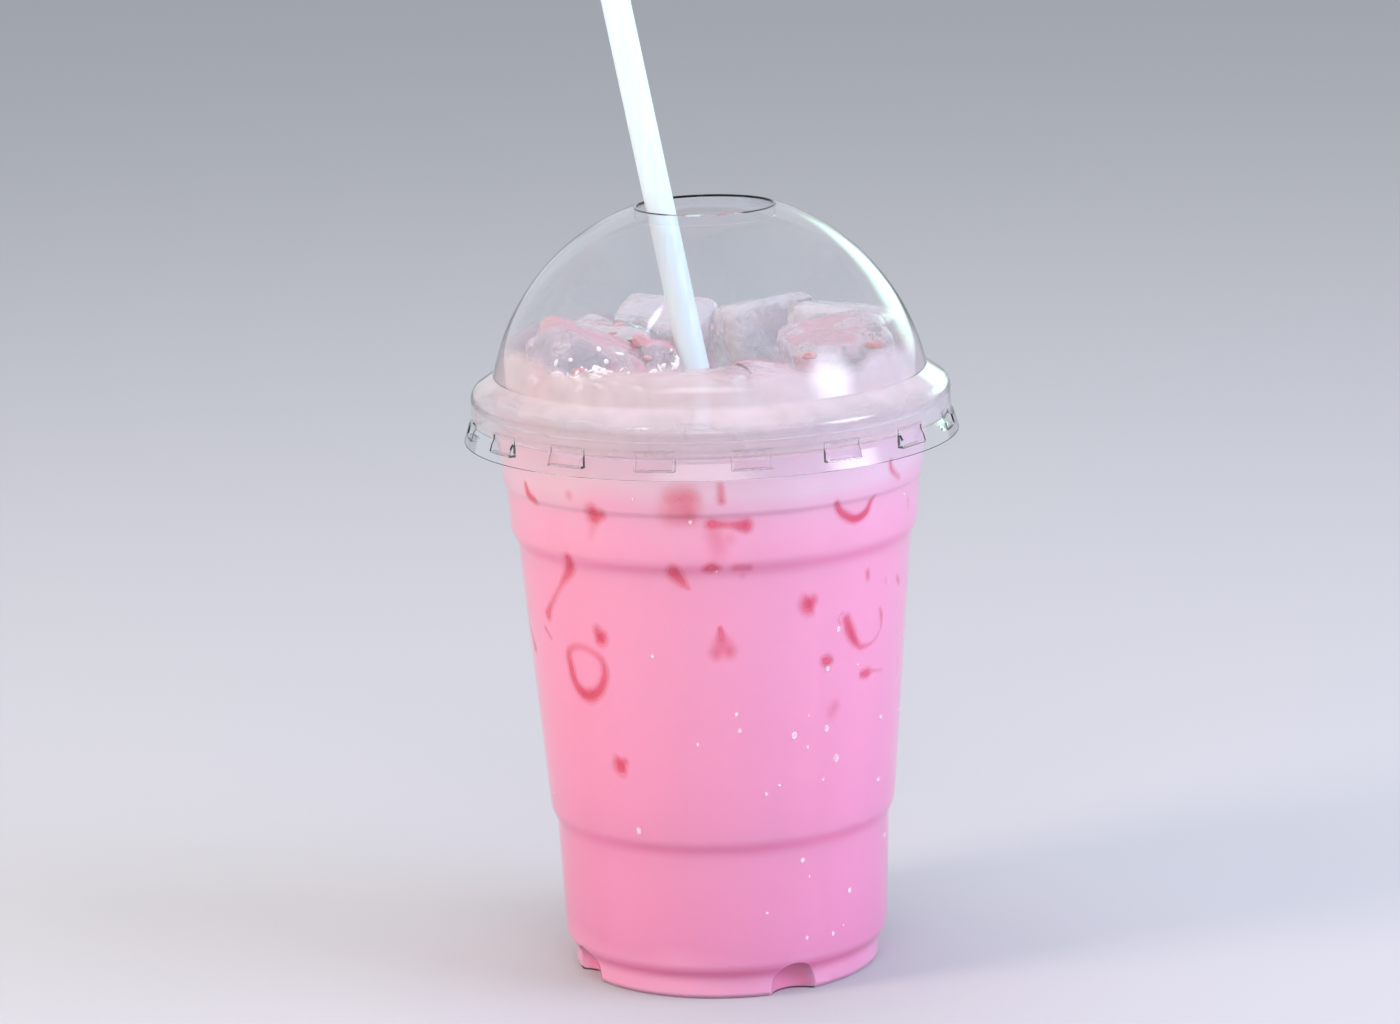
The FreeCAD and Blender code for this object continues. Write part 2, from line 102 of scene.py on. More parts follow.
def ramp(tree, factor, *stops):
    """Colour ramp through stops of (position, colour)."""
    item = add(tree, "ShaderNodeValToRGB", Fac=factor)
    points = item.color_ramp.elements
    while len(points) < len(stops):
        points.new(0.5)
    for point, (position, value) in zip(points, stops):
        point.position = position
        point.color = value
    return item.outputs["Color"]


def new_material(name):
    """A material with an empty tree and its output; returns the material, tree and output."""
    made = bpy.data.materials.new(name)
    made.use_nodes = True
    tree = made.node_tree
    tree.nodes.clear()
    return made, tree, add(tree, "ShaderNodeOutputMaterial")


def lets_lamps_through(tree, output, shader, share):
    """Put a shader on the output, clear for rays from lamps by a share from 0 to 1."""
    path = add(tree, "ShaderNodeLightPath")
    part = add(tree, "ShaderNodeMath", {"operation": "MULTIPLY"},
               in_0=path.outputs["Is Shadow Ray"], in_1=share)
    clear = add(tree, "ShaderNodeBsdfTransparent")
    mixed = add(tree, "ShaderNodeMixShader", Fac=part.outputs[0], in_1=shader,
                in_2=clear.outputs[0])
    tree.links.new(mixed.outputs[0], output.inputs["Surface"])


def object_coordinates(tree):
    """Place on the piece, in metres."""
    return add(tree, "ShaderNodeTexCoord").outputs["Object"]


def clear_selection():
    bpy.ops.object.select_all(action="DESELECT")


def make_active(piece):
    clear_selection()
    piece.select_set(True)
    bpy.context.view_layer.objects.active = piece


def apply_modifiers(piece):
    make_active(piece)
    for modifier in list(piece.modifiers):
        bpy.ops.object.modifier_apply(modifier=modifier.name)


def smooth(piece, degrees=None):
    """Shade a piece smooth all over, or only across edges flatter than an angle."""
    make_active(piece)
    if degrees is None:
        bpy.ops.object.shade_smooth()
    else:
        bpy.ops.object.shade_smooth_by_angle(angle=math.radians(degrees))


def copy_of_node(node, name):
    """A merged copy of a CAD node's mesh as a new piece."""
    piece = bpy.data.objects.new(name, NODES[node].data.copy())
    bpy.context.scene.collection.objects.link(piece)
    piece.data.materials.clear()
    make_active(piece)
    bpy.ops.object.mode_set(mode="EDIT")
    bpy.ops.mesh.select_all(action="SELECT")
    bpy.ops.mesh.remove_doubles(threshold=0.001 * MM)
    bpy.ops.object.mode_set(mode="OBJECT")
    if piece.data.attributes.get("custom_normal"):
        piece.data.attributes.remove(piece.data.attributes["custom_normal"])
    return piece


def copies(model, places):
    """Copies of a small model, each with its own mesh moved by a matrix; the model goes."""
    made = []
    for place in places:
        copied = model.copy()
        copied.data = model.data.copy()
        copied.data.transform(place)
        bpy.context.scene.collection.objects.link(copied)
        made.append(copied)
    mesh = model.data
    bpy.data.objects.remove(model)
    bpy.data.meshes.remove(mesh)
    return made


def finish_piece(piece, finish):
    """Give a new piece its material and slot, and let it ride with the rest."""
    piece.data.materials.clear()
    piece.data.materials.append(finish)
    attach(piece, "root")


def join_pieces(parts, name, finish):
    """Join small parts into one smooth piece."""
    clear_selection()
    for part in parts:
        part.select_set(True)
    bpy.context.view_layer.objects.active = parts[0]
    bpy.ops.object.join()
    joined = bpy.context.object
    joined.name = name
    smooth(joined)
    finish_piece(joined, finish)


def surface_tree(piece):
    """Search tree over a piece's mesh."""
    shape = bmesh.new()
    shape.from_mesh(piece.data)
    tree = BVHTree.FromBMesh(shape)
    shape.free()
    return tree


def first_hit(trees, start, direction):
    """Where a ray first meets any of the search trees, or None."""
    hits = [hit for hit in (tree.ray_cast(start, direction) for tree in trees) if hit[0]]
    return min(hits, key=lambda hit: hit[3])[0] if hits else None


def outward_at(degrees):
    """Level direction away from the cup's axis."""
    angle = math.radians(degrees)
    return Vector((math.cos(angle), math.sin(angle), 0))


# ---------------------------------------------------------------- camera, floor and light

def place_camera():
    """Long lens, a little above the lid, turned slightly on its own axis."""
    elevation = math.radians(12.13)
    roll = math.radians(-1.828)
    target = Vector((-2.94, 0.0, 95.85)) * MM
    distance = 961.1 * MM
    back = Vector((0, -math.cos(elevation), math.sin(elevation)))
    level_up = Vector((0, math.sin(elevation), math.cos(elevation)))
    level_right = Vector((1, 0, 0))
    right = level_right * math.cos(roll) + level_up * math.sin(roll)
    up = level_up * math.cos(roll) - level_right * math.sin(roll)
    data = bpy.data.cameras.new("camera")
    data.sensor_width = 36.0
    data.lens = 118.7
    camera = bpy.data.objects.new("camera", data)
    bpy.context.scene.collection.objects.link(camera)
    place = target + back * distance
    camera.matrix_world = Matrix((
        (right.x, up.x, back.x, place.x),
        (right.y, up.y, back.y, place.y),
        (right.z, up.z, back.z, place.z),
        (0, 0, 0, 1),
    ))
    bpy.context.scene.camera = camera


def fade_to_its_edges(lamp):
    """Let a lamp's surface dim from its middle to its edges, as a softbox does."""
    lamp.data.use_nodes = True
    tree = lamp.data.node_tree
    across = add(tree, "ShaderNodeNewGeometry").outputs["Parametric"]
    from_middle = add(tree, "ShaderNodeVectorMath", {"operation": "DISTANCE"},
                      in_0=across, in_1=(0.5, 0.5, 0.0))
    strength = add(tree, "ShaderNodeMapRange", {"interpolation_type": "SMOOTHSTEP"},
                   Value=from_middle.outputs["Value"], From_Min=0.5, From_Max=0.12)
    tree.links.new(strength.outputs[0], tree.nodes["Emission"].inputs["Strength"])


def area_lamp(name, place, width, height, watts, tint="FFFFFF"):
    """Rectangular lamp turned to the cup's middle; glossy surfaces don't mirror it."""
    data = bpy.data.lights.new(name, "AREA")
    data.shape = "RECTANGLE"
    data.size = width
    data.size_y = height
    data.energy = watts
    data.color = colour(tint)[:3]
    lamp = bpy.data.objects.new(name, data)
    bpy.context.scene.collection.objects.link(lamp)
    lamp.location = place
    lamp.rotation_euler = (Vector(CUP_MIDDLE) - Vector(place)).to_track_quat("-Z", "Y").to_euler()
    lamp.visible_camera = False
    lamp.visible_glossy = False
    lamp.visible_transmission = False
    return lamp


def softbox(*lamp_values):
    """Lamp that shows only as a soft reflection in glossy surfaces."""
    lamp = area_lamp(*lamp_values)
    lamp.visible_glossy = True
    lamp.visible_transmission = True
    lamp.visible_diffuse = False
    fade_to_its_edges(lamp)


def light_studio():
    """Warm lamp at the left, cool one at the right, softboxes for the glints on the plastic."""
    world = bpy.data.worlds.new("studio")
    bpy.context.scene.world = world
    world.use_nodes = True
    sky = world.node_tree.nodes["Background"]
    sky.inputs["Color"].default_value = colour("E9ECF2")
    sky.inputs["Strength"].default_value = 0.87
    # Place, width and height in metres, then watts and colour.
    area_lamp("left_side", (-0.80, -0.35, 0.55), 0.25, 0.90, 7.1, "FFDECD")
    area_lamp("right_side", (0.80, -0.30, 0.55), 0.60, 0.90, 8.0, "DDDDFF")
    softbox("right_window", (0.80, -0.32, 0.40), 0.56, 0.50, 5.2, "F2F2FF")
    softbox("left_window", (-0.42, -0.40, 0.95), 0.08, 0.34, 0.9, "DCD8FF")
    softbox("right_edge", (0.50, 0.87, 0.30), 0.80, 0.44, 3.4, "BEFFE0")
    softbox("front_strip", (-0.10, -1.40, 0.70), 1.80, 0.12, 1.3)
    area_lamp("front_fill", (0.10, -1.50, 0.85), 1.60, 1.20, 10.6)
    area_lamp("top_panel", (-0.10, 0.20, 1.20), 0.90, 0.70, 4.6)


def set_view_and_bounces():
    """Plain colours, and bounces for up to a dozen walls of plastic and ice."""
    scene = bpy.context.scene
    scene.view_settings.view_transform = "Standard"
    scene.cycles.max_bounces = 24
    scene.cycles.transmission_bounces = 24
    scene.cycles.transparent_max_bounces = 40


def lay_floor():
    """Wide sheet of paper under the cup, most of it behind."""
    clear_selection()
    bpy.ops.mesh.primitive_plane_add(size=14.0, location=(0, 3.0, 0))
    floor = bpy.context.object
    floor.name = "floor"
    floor.data.materials.append(studio_paper())


# ---------------------------------------------------------------- materials

def studio_paper():
    """Backdrop paper, uncoated: matt pale grey with no gloss at all."""
    made, tree, output = new_material("studio_paper_uncoated")
    shader = add(tree, "ShaderNodeBsdfPrincipled", Base_Color=colour("B4B7BB"), Roughness=0.85,
                 Specular_IOR_Level=0.0)
    tree.links.new(shader.outputs[0], output.inputs["Surface"])
    return made


def clear_pet(name):
    """Clear PET, thermoformed: glassy, with the faint waviness that the hot sheet keeps."""
    made, tree, output = new_material(name)
    place = object_coordinates(tree)
    # Waves 14 mm long and a few hundredths of a millimetre high.
    waves = add(tree, "ShaderNodeTexNoise", Vector=place, Scale=pattern_scale(14.3), Detail=1.0)
    bump = add(tree, "ShaderNodeBump", Height=waves.outputs["Fac"], Strength=0.25,
               Distance=0.3 * MM)
    shader = add(tree, "ShaderNodeBsdfPrincipled", Base_Color=colour("FBFDFE"),
                 Roughness=0.03, IOR=1.48, Transmission_Weight=1.0,
                 Normal=bump.outputs["Normal"])
    lets_lamps_through(tree, output, shader.outputs[0], 0.97)
    return made


def strawberry_milk():
    """Strawberry milk, stirred: opaque, scatters light under its surface, wet to the eye, with
    painted light at its foot and painted shade in its folds and flutes.
    """
    made, tree, output = new_material("strawberry_milk_stirred")
    top = 116.0 * MM
    place = object_coordinates(tree)
    split = add(tree, "ShaderNodeSeparateXYZ", Vector=place)
    height = add(tree, "ShaderNodeMapRange", Value=split.outputs["Z"], From_Max=top)

    # Paler at the foot, painted light against the shade the milk gets near the floor, and paler at
    # the top, with clouds 36 mm across that stirring leaves.
    clouds = add(tree, "ShaderNodeTexNoise", Vector=place, Scale=pattern_scale(35.7), Detail=2.0)
    clouded = add(tree, "ShaderNodeMath", {"operation": "MULTIPLY_ADD"},
                  in_0=clouds.outputs["Fac"], in_1=0.12, in_2=height.outputs[0])
    tint = ramp(tree, clouded.outputs[0],
                (0.05, colour("F8B6D5")), (0.15, colour("E79BC1")), (0.50, colour("EFA6C8")),
                (0.87, colour("F0ACCB")), (0.96, colour("EDB7D0")), (1.00, colour("E8CBD9")))

    # Painted shade: a deeper pink in the folds of the wall's steps, where shade falls: height of
    # each fold in mm, and how much.
    half_fold = 1.9 * MM
    fold_shade_stops = []
    for middle, amount in ((5.8, 0.9), (32.9, 0.6), (92.8, 0.5)):
        fold = middle * MM
        fold_shade_stops += [((fold - half_fold) / top, grey(0.0)), (fold / top, grey(amount)),
                       ((fold + half_fold) / top, grey(0.0))]
    fold_shade = ramp(tree, height.outputs[0], *fold_shade_stops)
    with_fold_shade = add(tree, "ShaderNodeMix", {"data_type": "RGBA"}, in_0=fold_shade, in_6=tint,
                 in_7=colour("F68CBF"))

    # Painted shade: a redder pink inside the foot's flutes, recesses where shade falls, which are
    # the faces under 10 mm nearer to the axis.
    level_place = add(tree, "ShaderNodeVectorMath", {"operation": "MULTIPLY"},
                      in_0=place, in_1=(1.0, 1.0, 0.0))
    off_axis = add(tree, "ShaderNodeVectorMath", {"operation": "LENGTH"},
                   in_0=level_place.outputs["Vector"])
    inward = add(tree, "ShaderNodeMapRange", Value=off_axis.outputs["Value"],
                 From_Min=31.2 * MM, From_Max=30.0 * MM)
    low = ramp(tree, height.outputs[0],
               (8.1 * MM / top, grey(0.9)), (10.4 * MM / top, grey(0.0)))
    flute_shade = add(tree, "ShaderNodeMath", {"operation": "MULTIPLY"},
                 in_0=inward.outputs[0], in_1=low)
    with_flute_shade = add(tree, "ShaderNodeMix", {"data_type": "RGBA"}, in_0=flute_shade.outputs[0],
                  in_6=with_fold_shade.outputs[2], in_7=colour("FF9CC4"))

    shader = add(tree, "ShaderNodeBsdfPrincipled", Base_Color=with_flute_shade.outputs[2], Roughness=0.25,
                 IOR=1.35, Subsurface_Weight=0.35, Subsurface_Scale=4 * MM,
                 Subsurface_Radius=(1.0, 0.45, 0.55))
    tree.links.new(shader.outputs[0], output.inputs["Surface"])
    return made


def wet_ice(name, film_hex, bare, body):
    """Melting ice: clear, uneven, with a film of milk on its edges and in patches.

    The film starts where the noise plus the edge's share passes bare; body is how clear
    the ice stays under the film.
    """
    made, tree, output = new_material(name)
    place = object_coordinates(tree)
    # Patches 9 mm across.
    patches = add(tree, "ShaderNodeTexNoise", Vector=place, Scale=pattern_scale(9.1), Detail=3.0)
    share = add(tree, "ShaderNodeAttribute", {"attribute_name": "film"})
    milky = add(tree, "ShaderNodeMath", {"operation": "MULTIPLY_ADD"},
                in_0=share.outputs["Fac"], in_1=0.20, in_2=patches.outputs["Fac"])
    film = ramp(tree, milky.outputs[0], (bare, colour("F4F6F8")), (bare + 0.12, colour(film_hex)))
    clear = ramp(tree, milky.outputs[0], (bare, grey(0.9)), (bare + 0.14, grey(body)))
    # Dimples 2.4 mm across, as water running off leaves them.
    dimples = add(tree, "ShaderNodeTexNoise", Vector=place, Scale=pattern_scale(2.38), Detail=3.0)
    bump = add(tree, "ShaderNodeBump", Height=dimples.outputs["Fac"], Strength=0.6,
               Distance=0.9 * MM)
    shader = add(tree, "ShaderNodeBsdfPrincipled", Base_Color=film, Roughness=0.07, IOR=1.31,
                 Transmission_Weight=clear, Normal=bump.outputs["Normal"])
    lets_lamps_through(tree, output, shader.outputs[0], 0.85)
    return made


def straw_plastic():
    """Polypropylene, extruded: bluish white, satin, with fine lines along the tube."""
    made, tree, output = new_material("polypropylene_extruded")
    place = object_coordinates(tree)
    # Lines 1.1 mm wide, coarser than the real ones so that they show.
    long_lines = add(tree, "ShaderNodeMapping", Vector=place, Scale=(1.0, 1.0, 0.03))
    lines = add(tree, "ShaderNodeTexNoise", Vector=long_lines.outputs[0],
                Scale=pattern_scale(1.11), Detail=2.0)
    bump = add(tree, "ShaderNodeBump", Height=lines.outputs["Fac"], Strength=0.2,
               Distance=0.1 * MM)
    tint = ramp(tree, lines.outputs["Fac"], (0.3, colour("D5E4EA")), (0.7, colour("E2EEF2")))
    shader = add(tree, "ShaderNodeBsdfPrincipled", Base_Color=tint, Roughness=0.38, IOR=1.49,
                 Subsurface_Weight=0.25, Subsurface_Scale=2 * MM, Normal=bump.outputs["Normal"])
    tree.links.new(shader.outputs[0], output.inputs["Surface"])
    return made


def mist_on_plastic(name, hex_text):
    """Fine condensation or a rest of milk on plastic: a veil of droplets that ends unevenly."""
    made, tree, output = new_material(name)
    place = object_coordinates(tree)
    split = add(tree, "ShaderNodeSeparateXYZ", Vector=place)
    # The veil's upper end rises and falls by up to 10 mm, in waves 22 mm long.
    edge = add(tree, "ShaderNodeTexNoise", Vector=place, Scale=pattern_scale(22.2), Detail=3.0)
    lowered = add(tree, "ShaderNodeMath", {"operation": "MULTIPLY_ADD"},
                  in_0=edge.outputs["Fac"], in_1=-10 * MM, in_2=split.outputs["Z"])
    height = add(tree, "ShaderNodeMapRange", Value=lowered.outputs[0],
                 From_Min=110.5 * MM, From_Max=130.5 * MM)
    veil = ramp(tree, height.outputs[0], (0.0, grey(0.36)), (0.22, grey(0.28)), (0.36, grey(0.32)),
                (0.50, grey(0.58)), (0.78, grey(0.52)), (0.90, grey(0.0)))
    # Thicker and thinner in spots 8 mm across.
    spots = add(tree, "ShaderNodeTexNoise", Vector=place, Scale=pattern_scale(8.33), Detail=2.0)
    uneven = add(tree, "ShaderNodeMapRange", Value=spots.outputs["Fac"],
                 From_Min=0.3, From_Max=0.7, To_Min=0.75, To_Max=1.15)
    patchy = add(tree, "ShaderNodeMath", {"operation": "MULTIPLY"},
                 in_0=veil, in_1=uneven.outputs[0])
    shader = add(tree, "ShaderNodeBsdfPrincipled", Base_Color=colour(hex_text), Roughness=0.6,
                 Alpha=patchy.outputs[0])
    lets_lamps_through(tree, output, shader.outputs[0], 0.8)
    return made


def milk_thinned_by_ice():
    """Milk thinned to a deep pink film where a sunk piece of ice presses on the wall."""
    made, tree, output = new_material("milk_film_over_ice")
    depth = add(tree, "ShaderNodeAttribute", {"attribute_name": "depth"})
    veil = add(tree, "ShaderNodeMath", {"operation": "POWER"}, in_0=depth.outputs["Fac"],
               in_1=1.25)
    shader = add(tree, "ShaderNodeBsdfPrincipled", Base_Color=colour("D8446C"), Roughness=0.3,
                 Alpha=veil.outputs[0])
    lets_lamps_through(tree, output, shader.outputs[0], 1.0)
    return made


def fruit_flesh():
    """Strawberry pulp, crushed: soft and wet, greyish red under its film of milk."""
    made, tree, output = new_material("strawberry_pulp_crushed")
    place = object_coordinates(tree)
    # Spots 2.5 mm across.
    spots = add(tree, "ShaderNodeTexNoise", Vector=place, Scale=pattern_scale(2.5), Detail=3.0)
    tint = ramp(tree, spots.outputs["Fac"], (0.35, colour("CB9496")), (0.7, colour("D0AFB2")))
    shader = add(tree, "ShaderNodeBsdfPrincipled", Base_Color=tint, Roughness=0.25)
    tree.links.new(shader.outputs[0], output.inputs["Surface"])
    return made


def water(name, clear):
    """Water in drops, and white flecks on the ice: bright, and whiter the less clear it is, the
    white painting their glints.
    """
    made, tree, output = new_material(name)
    shader = add(tree, "ShaderNodeBsdfPrincipled", Base_Color=colour("FFFFFF"), Roughness=0.05,
                 IOR=1.33, Transmission_Weight=clear)
    lets_lamps_through(tree, output, shader.outputs[0], 0.9)
    return made


# ---------------------------------------------------------------- milk and ice

def make_milk(finish):
    """The drink, closed at its level and reaching a little way into the cup's wall."""
    reach = 0.15 * MM
    milk = copy_of_node("drink", "milk")
    wall = surface_tree(NODES["cup"])
    shape = bmesh.new()
    shape.from_mesh(milk.data)
    off_wall = []
    for face in shape.faces:
        distance = wall.find_nearest(face.calc_center_median())[3]
        if distance > reach:
            off_wall.append(face)
    bmesh.ops.delete(shape, geom=off_wall, context="FACES")
    loose = [v for v in shape.verts if not v.link_faces]
    bmesh.ops.delete(shape, geom=loose, context="VERTS")
    shape.normal_update()
    for vertex in shape.verts:
        vertex.co += vertex.normal * reach
    near_top = MILK_LEVEL - 2 * MM
    rim = [e for e in shape.edges if e.is_boundary and min(v.co.z for v in e.verts) > near_top]
    bmesh.ops.triangle_fill(shape, edges=rim, use_beauty=True)
    # The straw's foot leaves a small crescent open in the milk's underside.
    crescent = [e for e in shape.edges if e.is_boundary]
    bmesh.ops.edgeloop_fill(shape, edges=crescent)
    bmesh.ops.recalc_face_normals(shape, faces=shape.faces)
    shape.to_mesh(milk.data)
    shape.free()
    smooth(milk, 35)
    finish_piece(milk, finish)
    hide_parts("drink")
    return milk


def mark_film(piece):
    """Attribute "film": milk stays on faces that look up and on edges, 0 to 1.

    An edge is where the surface bulges past its neighbours' mean, evened out over a few mm.
    """
    rounds = 50
    mesh = piece.data
    count = len(mesh.vertices)
    places = np.empty(count * 3)
    normals = np.empty(count * 3)
    pairs = np.empty(len(mesh.edges) * 2, dtype=int)
    mesh.vertices.foreach_get("co", places)
    mesh.vertices.foreach_get("normal", normals)
    mesh.edges.foreach_get("vertices", pairs)
    places, normals, pairs = (values.reshape(-1, width) for values, width
                              in ((places, 3), (normals, 3), (pairs, 2)))
    start, end = pairs.T
    degree = np.bincount(pairs.ravel(), minlength=count)

    def average(values):
        """Mean of each vertex's neighbours."""
        total = np.bincount(start, values[end], count) + np.bincount(end, values[start], count)
        return total / degree

    middles = np.stack([average(places[:, axis]) for axis in range(3)], axis=1)
    bulge = np.einsum("ij,ij->i", normals, places - middles)
    for _ in range(rounds):
        bulge = 0.5 * bulge + 0.5 * average(bulge)
    edges = 0.6 * np.clip(bulge / np.quantile(bulge, 0.9), 0.0, 1.0)
    tops = np.clip((normals[:, 2] - 0.45) / 0.35, 0.0, 1.0)
    film = np.maximum(edges, tops)
    mesh.attributes.new("film", "FLOAT", "POINT").data.foreach_set("value", film)


def cloud_texture(name, size):
    """Lumpy texture for a displacement, with lumps of a size in metres."""
    texture = bpy.data.textures.new(name, "CLOUDS")
    texture.noise_scale = size
    return texture


def push_surface(piece, texture, strength, middle=0.5):
    """Displace modifier that makes a piece uneven; at the texture's middle nothing moves."""
    push = piece.modifiers.new(texture.name, "DISPLACE")
    push.texture = texture
    push.texture_coords = "LOCAL"
    push.strength = strength
    push.mid_level = middle


def make_ice(clear_finish, milky_finish, frosted_finish):
    """Each lump of ice as it melts: softened corners, uneven faces."""
    lumps = cloud_texture("lumps", 9 * MM)
    ripples = cloud_texture("ripples", 3.2 * MM)
    made = []
    for node in ICE_NODES:
        piece = copy_of_node(node, f"{node}_melting")
        remesh = piece.modifiers.new("even_mesh", "REMESH")
        remesh.mode = "VOXEL"
        remesh.voxel_size = 0.45 * MM
        soften = piece.modifiers.new("soften", "SMOOTH")
        soften.iterations = 14
        soften.factor = 0.5
        push_surface(piece, lumps, 1.3 * MM, middle=0.75)
        push_surface(piece, ripples, 0.35 * MM, middle=0.75)
        settle = piece.modifiers.new("settle", "SMOOTH")
        settle.iterations = 4
        apply_modifiers(piece)
        mark_film(piece)
        smooth(piece)
        finish = clear_finish
        if node in FROSTED:
            finish = frosted_finish
        elif node in MILKY:
            finish = milky_finish
        finish_piece(piece, finish)
        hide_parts(node)
        made.append(piece)
    return made


# ---------------------------------------------------------------- mist

def spun_film(name, wall, low, high):
    """Thin film just inside a wall's inner side, all round, from one height to another."""
    gap = 0.06 * MM
    row_height = 0.4 * MM
    rows = max(int((high - low) / row_height), 4)
    # The wall's radius is measured in one direction and spun all round.
    direction = outward_at(126.05)
    profile = []
    for row in range(rows + 1):
        start = AXIS_UP * (low + (high - low) * row / rows)
        radius = wall.ray_cast(start, direction)[3] - gap
        profile.append((radius, 0, start.z))
    mesh = bpy.data.meshes.new(name)
    mesh.from_pydata(profile, [(row, row + 1) for row in range(rows)], [])
    film = bpy.data.objects.new(name, mesh)
    bpy.context.scene.collection.objects.link(film)
    make_active(film)
    bpy.ops.object.mode_set(mode="EDIT")
    bpy.ops.mesh.select_all(action="SELECT")
    bpy.ops.mesh.spin(steps=192, angle=2 * math.pi, center=(0, 0, 0), axis=(0, 0, 1))
    bpy.ops.mesh.select_all(action="SELECT")
    bpy.ops.mesh.remove_doubles(threshold=0.01 * MM)
    bpy.ops.mesh.normals_make_consistent(inside=False)
    bpy.ops.object.mode_set(mode="OBJECT")
    thickness = film.modifiers.new("film", "SOLIDIFY")
    thickness.thickness = 0.04 * MM
    thickness.offset = -1
    apply_modifiers(film)
    smooth(film, 60)
    return film


def make_mist(cup_finish, lid_finish):
    """Mist on the cup's wall over the milk, and inside the lid from its bead up the dome."""
    lid_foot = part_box("lid")[0][2]
    cup = surface_tree(NODES["cup"])
    lid = surface_tree(NODES["lid"])
    cup_mist = spun_film("cup_mist", cup, MILK_LEVEL + 0.3 * MM, MILK_LEVEL + 5.6 * MM)
    lid_mist = spun_film("lid_mist", lid, lid_foot + 4.4 * MM, lid_foot + 23.5 * MM)
    finish_piece(cup_mist, cup_finish)
    finish_piece(lid_mist, lid_finish)


# ---------------------------------------------------------------- marks of sunk ice

